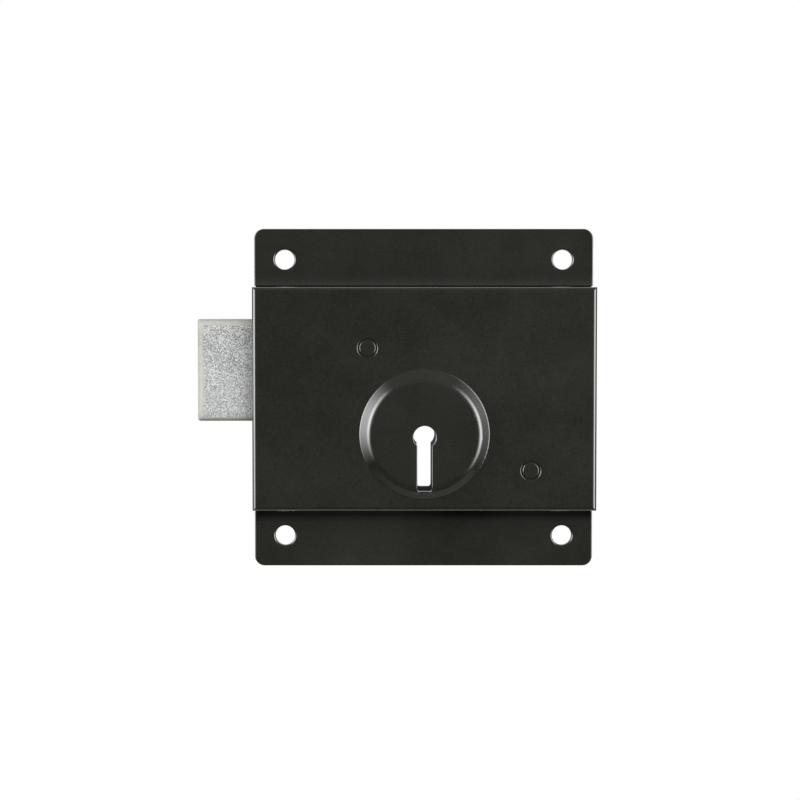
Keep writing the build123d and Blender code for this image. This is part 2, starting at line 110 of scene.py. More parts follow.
class Sheet:
    """A node tree that is being written, with short calls for the nodes this lock needs."""

    def __init__(self, tree: bpy.types.NodeTree) -> None:
        """Start on a tree and clear it.

        Args:
            tree: the material's, group's or world's node tree.
        """
        self.tree = tree
        tree.nodes.clear()

    def node(self, kind: str, inputs: dict[str | int, Any] | None = None, **settings: Any) -> bpy.types.Node:
        """Add a node, apply its settings, and join or fill its inputs.

        Args:
            kind: the node's type name after "ShaderNode".
            inputs: socket name or number to a socket to join or a constant.
            settings: attributes of the node itself.

        Returns:
            The new node.
        """
        made = self.tree.nodes.new("ShaderNode" + kind)
        for name, value in settings.items():
            setattr(made, name, value)
        for key, value in (inputs or {}).items():
            if isinstance(value, Socket):
                self.tree.links.new(value, made.inputs[key])
            else:
                made.inputs[key].default_value = value
        return made

    def maths(self, operation: str, a: Any, b: Any = 0.0, clamp: bool = False) -> Socket:
        """Return the result of one Math node.

        Args:
            operation: the node's operation.
            a: first socket or number.
            b: second socket or number.
            clamp: keep the result between 0 and 1.

        Returns:
            The value socket.
        """
        return self.node("Math", {0: a, 1: b}, operation=operation, use_clamp=clamp).outputs[0]

    def plus(self, a: Any, b: Any) -> Socket:
        """Return the sum of two sockets or numbers."""
        return self.maths("ADD", a, b)

    def minus(self, a: Any, b: Any) -> Socket:
        """Return the first socket or number less the second."""
        return self.maths("SUBTRACT", a, b)

    def times(self, a: Any, b: Any) -> Socket:
        """Return the product of two sockets or numbers."""
        return self.maths("MULTIPLY", a, b)

    def unsigned(self, value: Socket) -> Socket:
        """Return a value without its sign."""
        return self.maths("ABSOLUTE", value)

    def remap(
        self, value: Socket, low: float, high: float, to_low: float = 0.0, to_high: float = 1.0
    ) -> Socket:
        """Return a value carried smoothly from one range to another, and held at its ends.

        Args:
            value: the socket to carry over.
            low: start of the range it comes from.
            high: end of that range.
            to_low: what low becomes.
            to_high: what high becomes.

        Returns:
            The value socket.
        """
        ends = {"Value": value, "From Min": low, "From Max": high, "To Min": to_low, "To Max": to_high}
        return self.node("MapRange", ends, interpolation_type="SMOOTHSTEP").outputs["Result"]

    def mix(self, share: Any, a: Any, b: Any) -> Socket:
        """Return two colours mixed by a share.

        Args:
            share: 0 for a and 1 for b.
            a: colour or socket.
            b: colour or socket.

        Returns:
            The colour socket.
        """
        return self.node("Mix", {0: share, 6: a, 7: b}, data_type="RGBA").outputs[2]

    def blend(self, share: Any, a: Any, b: Any) -> Socket:
        """Return two numbers mixed by a share.

        Args:
            share: 0 for a and 1 for b.
            a: number or socket.
            b: number or socket.

        Returns:
            The value socket.
        """
        return self.node("Mix", {0: share, 2: a, 3: b}, data_type="FLOAT").outputs[0]

    def between(self, share: Any, a: Socket, b: Socket) -> Socket:
        """Return two vectors mixed by a share, 0 for the first and 1 for the second."""
        return self.node("Mix", {0: share, 4: a, 5: b}, data_type="VECTOR").outputs[1]

    def noise(self, vector: Socket, scale: Any, detail: float = 2.0, roughness: float = 0.5) -> Socket:
        """Return a noise value over object space.

        Args:
            vector: coordinates in metres.
            scale: cells to the metre.
            detail: octaves.
            roughness: weight of the finer octaves.

        Returns:
            The value socket.
        """
        inputs = {"Vector": vector, "Scale": scale, "Detail": detail, "Roughness": roughness}
        return self.node("TexNoise", inputs).outputs["Fac"]

    def bump(
        self, height: Socket, distance: Any, normal: Socket | None = None, strength: Any = 1.0
    ) -> Socket:
        """Return a normal bumped by a height.

        Args:
            height: the height, from 0 to 1.
            distance: metres that a height of 1 stands for.
            normal: the normal to start from, where it isn't the surface's own.
            strength: how much of the bump is taken.

        Returns:
            The normal socket.
        """
        inputs = {"Strength": strength, "Distance": distance, "Height": height}
        if normal is not None:
            inputs["Normal"] = normal
        return self.node("Bump", inputs).outputs[0]

    def stretched(self, vector: Socket, factors: Point) -> Socket:
        """Return coordinates scaled by a factor along each axis."""
        inputs = {"Vector": vector, "Scale": factors}
        return self.node("Mapping", inputs, vector_type="POINT").outputs["Vector"]

    def axes(self, vector: Socket) -> bpy.types.Node:
        """Return the node that gives a vector's X, Y and Z."""
        return self.node("SeparateXYZ", {0: vector})

    def facing(self, normal: str) -> bpy.types.Node:
        """Return the node that gives the X, Y and Z of the surface's "Normal" or "True Normal"."""
        return self.axes(self.node("NewGeometry").outputs[normal])

    def place(self) -> Socket:
        """Return the object coordinates."""
        return self.node("TexCoord").outputs["Object"]


class Effect:
    """A shader node group that several finishes share; subclasses name its sockets and write it.

    Octaves are a noise's detail and the weight of its finer octaves.
    """

    name: str = ""
    inputs: dict[str, str] = {}
    outputs: dict[str, str] = {}

    def write(self, sheet: Sheet, source: bpy.types.Node) -> dict[str, Socket]:
        """Write the group's nodes after its input node, and return what its outputs take."""
        raise NotImplementedError

    def tree(self) -> bpy.types.NodeTree:
        """Return the group, built the first time it is asked for."""
        found = bpy.data.node_groups.get(self.name)
        if found:
            return found
        made = bpy.data.node_groups.new(self.name, "ShaderNodeTree")
        for way, sockets in (("INPUT", self.inputs), ("OUTPUT", self.outputs)):
            for label, kind in sockets.items():
                made.interface.new_socket(label, in_out=way, socket_type="NodeSocket" + kind)
        sheet = Sheet(made)
        source = made.nodes.new("NodeGroupInput")
        result = made.nodes.new("NodeGroupOutput")
        for label, socket in self.write(sheet, source).items():
            made.links.new(socket, result.inputs[label])
        return made

    def on(self, sheet: Sheet, values: dict[str, Any]) -> bpy.types.Node:
        """Place the group in a material with its own values.

        Args:
            sheet: the material's sheet.
            values: input name to socket or number.

        Returns:
            The group node.
        """
        return sheet.node("Group", values, node_tree=self.tree())


class CoatTexture(Effect):
    """Powder coat: a fine orange peel over a slow unevenness of the pressed sheet."""

    name = "coat_texture"
    inputs = {"Vector": "Vector", "Peel Cells": "Float", "Peel Depth": "Float", "Sheet Depth": "Float"}
    outputs = {"Normal": "Vector", "Mottle": "Float"}
    peel_octaves: Pair = (2.0, 0.45)
    sheet_cells: float = 42.0
    sheet_octaves: Pair = (1.0, 0.4)
    cloud_cells: float = 65.0
    cloud_octaves: Pair = (5.0, 0.7)
    peel_share: float = 0.45
    mottle_range: Pair = (0.32, 0.68)

    def write(self, sheet: Sheet, source: bpy.types.Node) -> dict[str, Socket]:
        """Bump by two noises, one at the peel's size and one across the sheet, and give a slow mottle."""
        place = source.outputs["Vector"]
        peel = sheet.noise(place, source.outputs["Peel Cells"], *self.peel_octaves)
        waves = sheet.noise(place, self.sheet_cells, *self.sheet_octaves)
        cloud = sheet.noise(place, self.cloud_cells, *self.cloud_octaves)
        fine = sheet.bump(peel, source.outputs["Peel Depth"])
        return {
            "Normal": sheet.bump(waves, source.outputs["Sheet Depth"], fine),
            "Mottle": sheet.remap(sheet.blend(self.peel_share, cloud, peel), *self.mottle_range),
        }


class BendGloss(Effect):
    """Gloss of a baked coat: thin and satin on flat faces, full and wet where it flows over a bend."""

    name = "bend_gloss"
    inputs = {"Flat": "Float", "Foot": "Float", "Bend": "Float"}
    outputs = {"Weight": "Float"}
    front_range: Pair = (0.90, 0.99)
    wall_range: Pair = (0.02, 0.15)
    foot_range: Pair = (0.80, 0.90)

    def write(self, sheet: Sheet, source: bpy.types.Node) -> dict[str, Socket]:
        """Tell flat faces, which look along or square to the lock's depth, from all that is tilted."""
        along = sheet.unsigned(sheet.facing("Normal").outputs["Y"])
        off_front = sheet.remap(along, *self.front_range, 1.0, 0.0)
        tilted = sheet.maths("MINIMUM", off_front, sheet.remap(along, *self.wall_range))
        foot = sheet.times(source.outputs["Foot"], sheet.remap(along, *self.foot_range))
        flat = sheet.blend(foot, source.outputs["Flat"], source.outputs["Bend"])
        return {"Weight": sheet.blend(tilted, flat, source.outputs["Bend"])}


class CastGrain(Effect):
    """The tumbled skin of a die casting: packed grains with a finer grit between them."""

    name = "cast_grain"
    inputs = {"Vector": "Vector", "Grain Cells": "Float"}
    outputs = {"Speckle": "Float"}
    grit_ratio: float = 1.3
    grit_octaves: Pair = (3.0, 0.6)
    speckle_range: Pair = (0.25, 0.75)

    def write(self, sheet: Sheet, source: bpy.types.Node) -> dict[str, Socket]:
        """Take each grain's own shade from a cell texture and add a finer noise, half and half."""
        place, cells = source.outputs["Vector"], source.outputs["Grain Cells"]
        grains = sheet.node("TexVoronoi", {"Vector": place, "Scale": cells, "Randomness": 1.0})
        shade = sheet.node("SeparateColor", {0: grains.outputs["Color"]}).outputs[0]
        grit = sheet.noise(place, sheet.times(cells, self.grit_ratio), *self.grit_octaves)
        both = sheet.plus(sheet.times(shade, 0.5), sheet.times(grit, 0.5))
        return {"Speckle": sheet.remap(both, *self.speckle_range)}


class DrawnLines(Effect):
    """Fine lines that drawing, rolling or turning leaves in a metal."""

    name = "drawn_lines"
    inputs = {"Vector": "Vector", "Cells": "Float", "Depth": "Float"}
    outputs = {"Normal": "Vector", "Lines": "Float"}
    octaves: Pair = (3.0, 0.6)

    def write(self, sheet: Sheet, source: bpy.types.Node) -> dict[str, Socket]:
        """Use one noise over coordinates that the material has already stretched along the lines."""
        lines = sheet.noise(source.outputs["Vector"], source.outputs["Cells"], *self.octaves)
        return {"Normal": sheet.bump(lines, source.outputs["Depth"]), "Lines": lines}


class Handling(Effect):
    """Light smudges and dust from handling: a mask that is high only in a few soft patches."""

    name = "handling"
    inputs = {"Vector": "Vector", "Cells": "Float", "Cover": "Float"}
    outputs = {"Mask": "Float"}
    broad_octaves: Pair = (4.0, 0.55)
    break_octaves: Pair = (4.0, 0.7)
    break_ratio: float = 9.0
    break_share: float = 0.25
    edge_gain: float = 6.0

    def write(self, sheet: Sheet, source: bpy.types.Node) -> dict[str, Socket]:
        """Keep the top share of a broad noise, broken up by a finer one."""
        place, cells = source.outputs["Vector"], source.outputs["Cells"]
        broad = sheet.noise(place, cells, *self.broad_octaves)
        broken = sheet.noise(place, sheet.times(cells, self.break_ratio), *self.break_octaves)
        both = sheet.plus(
            sheet.times(broad, 1.0 - self.break_share), sheet.times(broken, self.break_share)
        )
        over = sheet.minus(both, sheet.minus(1.0, source.outputs["Cover"]))
        return {"Mask": sheet.maths("MULTIPLY", over, self.edge_gain, clamp=True)}


def new_material(name: str) -> tuple[bpy.types.Material, Sheet]:
    """Return an empty node material and its sheet."""
    made = bpy.data.materials.new(name)
    made.use_nodes = True
    return made, Sheet(made.node_tree)


def finish_surface(sheet: Sheet, inputs: dict[str, Any]) -> None:
    """Close a material with one Principled BSDF.

    Args:
        sheet: the material's sheet.
        inputs: the shader's sockets and what they take.
    """
    shader = sheet.node("BsdfPrincipled", inputs)
    sheet.node("OutputMaterial", {"Surface": shader.outputs["BSDF"]})


@dataclass(frozen=True)
class BakedCoat:
    """What the baked black coat is on every piece that has it."""

    roughness: float = 0.24
    specular: float = 0.10
    gloss_roughness: float = 0.10
    gloss_ior: float = 2.1

    def sockets(self) -> dict[str, float]:
        """Return the shader's sockets that are the same all over."""
        return {
            "Specular IOR Level": self.specular, "Coat Roughness": self.gloss_roughness,
            "Coat IOR": self.gloss_ior,
        }


@dataclass(frozen=True)
class BlackCoat(BakedCoat):
    """Semi-gloss black powder coat on pressed steel.

    The foot is where a flange meets the case: its height above or below the middle, how far the
    flange's slow rise reaches from it, and how high that rise is.
    """

    dark: Colour = (0.0134, 0.0134, 0.0104, 1.0)
    light: Colour = (0.0215, 0.0215, 0.0172, 1.0)
    roughness_spread: float = 0.03
    peel_cells: float = 1900.0
    peel_depth: float = 0.034 * MM
    sheet_depth: float = 0.10 * MM
    smudge: Colour = (0.030, 0.030, 0.026, 1.0)
    smudge_share: float = 0.35
    smudge_cells: float = 38.0
    smudge_cover: float = 0.42
    foot_start: float = 32.5 * MM
    foot_reach: float = 5.0 * MM
    foot_rise: float = 0.30 * MM
    sheet_middle: float = 0.75 * MM
    # Painted shade in the inner corners where the flanges meet the case: its colour, and how far from the
    # foot it fades out above and below.
    painted_corner_shade: Colour = (0.0020, 0.0020, 0.0016, 1.0)
    corner_shade_above: Pair = (1.20 * MM, 1.44 * MM)
    corner_shade_below: Pair = (2.5 * MM, 5.4 * MM)
    gloss: float = 0.10
    gloss_cells: float = 24.0
    gloss_detail: float = 1.0
    gloss_range: Pair = (0.35, 0.65)

    def build(self) -> bpy.types.Material:
        """Return the coat's material."""
        material, sheet = new_material("black_coat")
        place = sheet.place()
        coat = CoatTexture().on(sheet, {
            "Vector": place, "Peel Cells": self.peel_cells, "Peel Depth": self.peel_depth,
            "Sheet Depth": self.sheet_depth,
        })
        marks = Handling().on(sheet, {
            "Vector": place, "Cells": self.smudge_cells, "Cover": self.smudge_cover,
        })
        mottle = coat.outputs["Mottle"]
        base = sheet.mix(mottle, self.dark, self.light)
        base = sheet.mix(sheet.times(marks.outputs["Mask"], self.smudge_share), base, self.smudge)
        spread = self.roughness_spread
        rough = sheet.blend(mottle, self.roughness - spread, self.roughness + spread)
        axes = sheet.axes(place)
        off = sheet.minus(sheet.unsigned(axes.outputs["Z"]), self.foot_start)
        front = self.in_front(sheet, axes.outputs["Y"])
        # Painted shade in the flanges' inner corners: it darkens the base colour and takes the gloss off the
        # foot there.
        corner = sheet.times(self.corner(sheet, axes.outputs["Z"], off), front)
        rise = sheet.times(self.climb(sheet, off), front)
        uneven = sheet.remap(
            sheet.noise(place, self.gloss_cells, self.gloss_detail), *self.gloss_range, 0.0, self.gloss
        )
        foot = sheet.times(rise, sheet.minus(1.0, corner))
        gloss = BendGloss().on(sheet, {"Flat": uneven, "Foot": foot, "Bend": 1.0})
        finish_surface(sheet, self.sockets() | {
            "Base Color": sheet.mix(corner, base, self.painted_corner_shade), "Roughness": rough,
            "Coat Weight": gloss.outputs["Weight"],
            "Normal": sheet.bump(rise, self.foot_rise, coat.outputs["Normal"]),
        })
        return material

    def in_front(self, sheet: Sheet, depth: Socket) -> Socket:
        """Return the mask of the flanges' front faces and what stands just before them."""
        return sheet.times(
            sheet.maths("GREATER_THAN", depth, -self.foot_reach),
            sheet.maths("LESS_THAN", depth, -self.sheet_middle),
        )

    def corner(self, sheet: Sheet, height: Socket, off: Socket) -> Socket:
        """Return the painted shade in the flanges' inner corners, a short way above the case and longer
        below.

        Args:
            sheet: the material's sheet.
            height: how high the point is.
            off: how far it is from the foot.

        Returns:
            The share of painted shade.
        """
        above = sheet.remap(off, *self.corner_shade_above, 1.0, 0.0)
        below = sheet.remap(off, *self.corner_shade_below, 1.0, 0.0)
        shade = sheet.blend(sheet.maths("LESS_THAN", height, 0.0), above, below)
        return sheet.times(shade, sheet.maths("GREATER_THAN", off, 0.0))

    def climb(self, sheet: Sheet, off: Socket) -> Socket:
        """Return a flange's slow rise to its bend: the square of the share of the reach that is left."""
        left = sheet.maths("SUBTRACT", 1.0, sheet.maths("DIVIDE", off, self.foot_reach), clamp=True)
        return sheet.times(left, left)


@dataclass(frozen=True)
class ZincCasting:
    """Grey die casting: speckled on its flat faces, smooth and creamy on its rounded edges, with painted
    shade on the edges that face down.

    The keep has rubbed the face below a straight line from wear_from that falls by wear_slope. A
    cutter left a faint arc of sweep_radius about sweep_centre. Both places are X and Z.
    """

    grain_dark: Colour = (0.17, 0.18, 0.20, 1.0)
    grain_light: Colour = (0.82, 0.83, 0.80, 1.0)
    grain_cells: float = 4400.0
    grain_depth: float = 0.030 * MM
    face_metallic: float = 0.35
    face_roughness: float = 0.5
    face_range: Pair = (0.9, 0.97)
    edge: Colour = (0.52, 0.52, 0.47, 1.0)
    edge_dark: Colour = (0.36, 0.365, 0.32, 1.0)
    edge_speckle: float = 0.16
    edge_metallic: float = 0.12
    edge_roughness: float = 0.58
    edge_band: float = 2.0 * MM
    low_band: float = 1.1 * MM
    band_fade: float = 0.12
    # Painted shade on the rounded edges that face down: its colour, its share, and the range of the normal's
    # Z over which it comes in.
    painted_underside_shade: Colour = (0.10, 0.10, 0.09, 1.0)
    underside_shade_share: float = 0.55
    underside_shade_range: Pair = (-0.95, -0.45)
    stain_cells: float = 110.0
    stain_cover: float = 0.5
    stain_share: float = 0.22
    worn: Colour = (0.68, 0.69, 0.67, 1.0)
    worn_share: float = 0.16
    wear_from: Pair = (-63.6 * MM, 8.9 * MM)
    wear_slope: float = -0.22
    wear_fade: float = 0.3 * MM
    wear_ripple: float = 0.3 * MM
    ripple_cells: float = 300.0
    seam: Colour = (0.74, 0.75, 0.73, 1.0)
    seam_share: float = 0.45
    seam_middle: float = 0.1 * MM
    seam_range: Pair = (0.1 * MM, 0.45 * MM)
    sweep_centre: Pair = (-90.6 * MM, 8.0 * MM)
    sweep_radius: float = 36.9 * MM
    sweep_share: float = 0.45
    sweep_range: Pair = (0.1 * MM, 0.6 * MM)
    sweep_cells: float = 500.0
    sweep_gaps: Pair = (0.35, 0.6)

    def wear(self, sheet: Sheet, place: Socket) -> tuple[Socket, Socket]:
        """Return where the keep has rubbed the face: a share for the rubbed part and one for its edge."""
        axes = sheet.axes(place)
        along = sheet.minus(axes.outputs["X"], self.wear_from[0])
        line = sheet.plus(sheet.times(along, self.wear_slope), self.wear_from[1])
        ripple = sheet.times(sheet.noise(place, self.ripple_cells), self.wear_ripple)
        height = sheet.plus(sheet.minus(axes.outputs["Z"], line), ripple)
        below = sheet.remap(height, 0.0, self.wear_fade, 1.0, 0.0)
        off = sheet.unsigned(sheet.plus(height, self.seam_middle))
        return below, sheet.remap(off, *self.seam_range, 1.0, 0.0)

    def sweep(self, sheet: Sheet, place: Socket) -> Socket:
        """Return the faint arc that a turning cutter left on the face, broken up by a noise."""
        centre = (self.sweep_centre[0], 0.0, self.sweep_centre[1])
        flat = sheet.node("VectorMath", {0: place, 1: (1.0, 0.0, 1.0)}, operation="MULTIPLY").outputs[0]
        reach = sheet.node("VectorMath", {0: flat, 1: centre}, operation="DISTANCE").outputs["Value"]
        off = sheet.unsigned(sheet.minus(reach, self.sweep_radius))
        broken = sheet.remap(sheet.noise(place, self.sweep_cells), *self.sweep_gaps)
        return sheet.times(sheet.remap(off, *self.sweep_range, 1.0, 0.0), broken)

    def face(self, sheet: Sheet, place: Socket) -> Socket:
        """Return the share of speckled face: none on the sides and in the smooth band round the edge."""
        low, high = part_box("bolt_head")
        axes = sheet.axes(place)
        share = sheet.remap(sheet.unsigned(sheet.facing("True Normal").outputs["Y"]), *self.face_range)
        for axis, start, width in (
            ("X", low[0], self.edge_band), ("Z", high[2], -self.edge_band), ("Z", low[2], self.low_band),
        ):
            inner, fade = start + width, self.band_fade * width
            share = sheet.times(share, sheet.remap(axes.outputs[axis], inner - fade, inner + fade))
        return share

    def build(self) -> bpy.types.Material:
        """Return the casting's material."""
        material, sheet = new_material("zinc_casting")
        place = sheet.place()
        grain = CastGrain().on(sheet, {"Vector": place, "Grain Cells": self.grain_cells})
        speckle = grain.outputs["Speckle"]
        face = self.face(sheet, place)
        below, seam = self.wear(sheet, place)
        marks = Handling().on(sheet, {
            "Vector": place, "Cells": self.stain_cells, "Cover": self.stain_cover,
        })
        stains = marks.outputs["Mask"]
        arc = sheet.times(self.sweep(sheet, place), sheet.minus(1.0, below))
        speckled = sheet.mix(speckle, self.grain_dark, self.grain_light)
        for share, strength, colour in (
            (stains, self.stain_share, self.grain_dark), (arc, self.sweep_share, self.grain_dark),
            (below, self.worn_share, self.worn), (seam, self.seam_share, self.seam),
        ):
            speckled = sheet.mix(sheet.times(share, strength), speckled, colour)
        smooth = sheet.mix(stains, self.edge, self.edge_dark)
        smooth = sheet.mix(self.edge_speckle, smooth, speckled)
        # Painted shade: the smooth edges turn darker the more their normal faces down.
        underside = sheet.facing("Normal").outputs["Z"]
        under = sheet.remap(underside, *self.underside_shade_range, self.underside_shade_share, 0.0)
        smooth = sheet.mix(under, smooth, self.painted_underside_shade)
        finish_surface(sheet, {
            "Base Color": sheet.mix(face, smooth, speckled),
            "Metallic": sheet.blend(face, self.edge_metallic, self.face_metallic),
            "Roughness": sheet.blend(face, self.edge_roughness, self.face_roughness),
            "Normal": sheet.bump(speckle, self.grain_depth, strength=face),
        })
        return material


@dataclass(frozen=True)
class DrawnMetal:
    """A bright metal with fine drawn or rolled lines, along X unless it is stretched otherwise."""

    slot: Slot
    dark: Colour
    light: Colour
    roughness: float
    stretch: Point = (0.06, 1.0, 1.0)
    cells: float = 1500.0
    depth: float = 0.006 * MM
    mark_cells: float = 240.0
    mark_cover: float = 0.45
    mark_roughness: float = 0.06

    def build(self) -> bpy.types.Material:
        """Return the metal's material."""
        material, sheet = new_material(self.slot.value)
        place = sheet.place()
        lines = DrawnLines().on(sheet, {
            "Vector": sheet.stretched(place, self.stretch), "Cells": self.cells, "Depth": self.depth,
        })
        marks = Handling().on(sheet, {
            "Vector": place, "Cells": self.mark_cells, "Cover": self.mark_cover,
        })
        marked = self.roughness + self.mark_roughness
        finish_surface(sheet, {
            "Base Color": sheet.mix(lines.outputs["Lines"], self.dark, self.light), "Metallic": 1.0,
            "Roughness": sheet.blend(marks.outputs["Mask"], self.roughness, marked),
            "Normal": lines.outputs["Normal"],
        })
        return material


@dataclass(frozen=True)
class PillarSteel(BakedCoat):
    """Turned steel whose riveted front end is coated black together with the case."""

    steel_dark: Colour = (0.42, 0.42, 0.42, 1.0)
    steel_light: Colour = (0.62, 0.62, 0.62, 1.0)
    steel_roughness: float = 0.32
    stretch: Point = (0.15, 1.0, 0.15)
    line_cells: float = 2600.0
    line_depth: float = 0.006 * MM
    coat: Colour = (0.0170, 0.0170, 0.0134, 1.0)
    coat_from_y: float = -15.6 * MM
    coat_fade: float = 0.1 * MM
    peel_cells: float = 1500.0
    peel_depth: float = 0.02 * MM
    gloss: float = 0.08

    def build(self) -> bpy.types.Material:
        """Return the pillars' material, steel behind the front panel and coat in it."""
        material, sheet = new_material("pillar_steel")
        place = sheet.place()
        lines = DrawnLines().on(sheet, {
            "Vector": sheet.stretched(place, self.stretch), "Cells": self.line_cells,
            "Depth": self.line_depth,
        })
        coat = CoatTexture().on(sheet, {
            "Vector": place, "Peel Cells": self.peel_cells, "Peel Depth": self.peel_depth,
            "Sheet Depth": 0.0,
        })
        depth = sheet.axes(place).outputs["Y"]
        coated = sheet.remap(depth, self.coat_from_y - self.coat_fade, self.coat_from_y, 1.0, 0.0)
        steel = sheet.mix(lines.outputs["Lines"], self.steel_dark, self.steel_light)
        gloss = BendGloss().on(sheet, {"Flat": self.gloss, "Foot": 0.0, "Bend": 1.0})
        finish_surface(sheet, self.sockets() | {
            "Base Color": sheet.mix(coated, steel, self.coat), "Metallic": sheet.minus(1.0, coated),
            "Roughness": sheet.blend(coated, self.steel_roughness, self.roughness),
            "Coat Weight": sheet.times(coated, gloss.outputs["Weight"]),
            "Normal": sheet.between(coated, lines.outputs["Normal"], coat.outputs["Normal"]),
        })
        return material


def add_mesh(name: str, points: np.ndarray, faces: list[list[int]]) -> bpy.types.Object:
    """Return a mesh object at the origin, linked to the scene.

    Args:
        name: the object's name.
        points: points in metres, shaped (points, 3).
        faces: each face's points, by number.

    Returns:
        The object.
    """
    mesh = bpy.data.meshes.new(name)
    mesh.from_pydata(points.tolist(), [], faces)
    made = bpy.data.objects.new(name, mesh)
    bpy.context.scene.collection.objects.link(made)
    return made


def closed_mesh(name: str, rings: np.ndarray) -> bpy.types.Object:
    """Return a closed mesh over rings of points, each end drawn together at the middle of its ring.

    The sides are quads between neighbouring rings, wrapped round, and each end is a fan of
    triangles to one added point, the mean of the ring. If the signed volume is negative, every
    face is turned round, so that the faces point outwards.

    Args:
        name: the object's name.
        rings: points in metres, shaped (rings, points around, 3).

    Returns:
        The mesh object at the origin.
    """
    rows, around, _ = rings.shape
    index = np.arange(rows * around).reshape(rows, around)
    beside = np.roll(index, -1, axis=1)
    sides = np.stack([index[:-1], beside[:-1], beside[1:], index[1:]], axis=-1).reshape(-1, 4)
    first, last = rows * around, rows * around + 1
    start = np.stack([beside[0], index[0], np.full(around, first)], axis=-1)
    end = np.stack([index[-1], beside[-1], np.full(around, last)], axis=-1)
    points = np.concatenate([rings.reshape(-1, 3), rings[0].mean(0)[None], rings[-1].mean(0)[None]])
    triangles = np.concatenate([sides[:, [0, 1, 2]], sides[:, [0, 2, 3]], start, end])
    corners = points[triangles]
    volume = np.einsum("ij,ij->i", corners[:, 0], np.cross(corners[:, 1], corners[:, 2])).sum()
    if volume < 0:
        sides, start, end = sides[:, ::-1], start[:, ::-1], end[:, ::-1]
    made = add_mesh(name, points, sides.tolist() + start.tolist() + end.tolist())
    mesh = made.data
    mesh.polygons.foreach_set("use_smooth", np.ones(len(mesh.polygons), dtype=bool))
    mesh.set_sharp_from_angle(angle=SHARP_ANGLE)
    mesh.validate()
    return made


def section_template(corner_points: int, side_points: int) -> tuple[np.ndarray, np.ndarray]:
    """Return the template of a rounded rectangle.

    A point of the rectangle is S * (half size - radius) + radius * D: around a corner S stays at
    that corner's signs while D turns through a quarter circle, and along a side D stays and S
    runs from one corner to the next.

    Args:
        corner_points: points in each corner's quarter circle.
        side_points: points added along each side.

    Returns:
        S and D, each shaped (points, 2).
    """
    signs = np.array([(1, 1), (-1, 1), (-1, -1), (1, -1)], dtype=float)
    quarter = np.linspace(0, np.pi / 2, corner_points)
    angles = quarter[None] + (np.arange(4) * np.pi / 2)[:, None]
    turn = np.stack([np.cos(angles), np.sin(angles)], axis=-1)
    hold = np.repeat(signs[:, None], corner_points, axis=1)
    share = (np.arange(side_points) + 1) / (side_points + 1)
    following = np.roll(signs, -1, axis=0)
    run = signs[:, None] + share[None, :, None] * (following - signs)[:, None]
    straight = np.repeat(turn[:, -1:], side_points, axis=1)
    s = np.concatenate([hold, run], axis=1).reshape(-1, 2)
    d = np.concatenate([turn, straight], axis=1).reshape(-1, 2)
    return s, d


@dataclass
class BoltCasting:
    """The deadbolt's cast head, as a rounded section carried from its end to the lap.

    A wave is given by its radians to the metre and by its phase.
    """

    edge_round: float = 1.9 * MM
    corner_round: float = 0.6 * MM
    section_shrink: float = 0.75
    section_points: int = 9
    end_points: int = 14
    body_points: int = 20
    lap_points: int = 6
    unevenness: float = 0.012 * MM
    wave_x: Pair = (410, 1.3)
    wave_z: Pair = (330, 0.4)

    def stations(self, end_x: float, lap_x: float, inner_x: float) -> np.ndarray:
        """Return the places along X, close together where the end is rounded.

        Args:
            end_x: the bolt's outer end.
            lap_x: where the lap for the tail begins.
            inner_x: the bolt's inner end.

        Returns:
            The places in metres, with the lap's step as two at one place.
        """
        turn = np.linspace(0, np.pi / 2, self.end_points)
        rounded = end_x + self.edge_round * (1 - np.cos(turn))
        body = np.linspace(rounded[-1], lap_x, self.body_points)[1:]
        lap = np.linspace(lap_x, inner_x, self.lap_points)
        return np.concatenate([rounded, body, lap])

    def build(self) -> bpy.types.Object:
        """Return the casting as one closed mesh.

        At a distance s from the outer end each half size is drawn in by r - sqrt(r^2 - (r - s)^2),
        with the edge round r across the thickness and the smaller corner round across the height.
        Behind the lap's step the section's back moves forward to the tail's front face. A slow
        product of sines lifts the faces by a hundredth of a millimetre, as on any casting.

        Returns:
            The mesh object.
        """
        low, high = (np.array(corner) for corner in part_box("bolt_head"))
        tail_low, _ = (np.array(corner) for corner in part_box("bolt_tail"))
        x = self.stations(low[0], tail_low[0], high[0])
        rows = len(x)
        back = np.where(np.arange(rows) < rows - self.lap_points, high[1], tail_low[1])
        half_y, half_z = (back - low[1]) / 2, np.full(rows, (high[2] - low[2]) / 2)
        middle_y, middle_z = (back + low[1]) / 2, (high[2] + low[2]) / 2

        def drawn_in(radius: float) -> np.ndarray:
            """Return how far the end's rounding draws a half size in at each station."""
            left = np.clip(radius - (x - low[0]), 0, radius)
            return radius - np.sqrt(radius**2 - left**2)

        half = np.stack([half_y - drawn_in(self.edge_round), half_z - drawn_in(self.corner_round)], axis=-1)
        radius = self.edge_round - drawn_in(self.edge_round) * self.section_shrink
        s, d = section_template(self.section_points, self.section_points)
        flat = s[None] * (half[:, None] - radius[:, None, None]) + radius[:, None, None] * d[None]
        rings = np.stack([
            np.repeat(x[:, None], len(s), axis=1), flat[..., 0] + middle_y[:, None], flat[..., 1] + middle_z,
        ], axis=-1)
        (x_rate, x_phase), (z_rate, z_phase) = self.wave_x, self.wave_z
        ripple = np.sin(rings[..., 0] * x_rate + x_phase) * np.sin(rings[..., 2] * z_rate + z_phase)
        inset = np.clip((rings[..., 0] - low[0]) / (2 * self.edge_round), 0, 1)
        outward = np.sign(rings[..., 1] - middle_y[:, None])
        rings[..., 1] += self.unevenness * (ripple - 1) * inset * outward
        return closed_mesh("bolt_casting", rings)


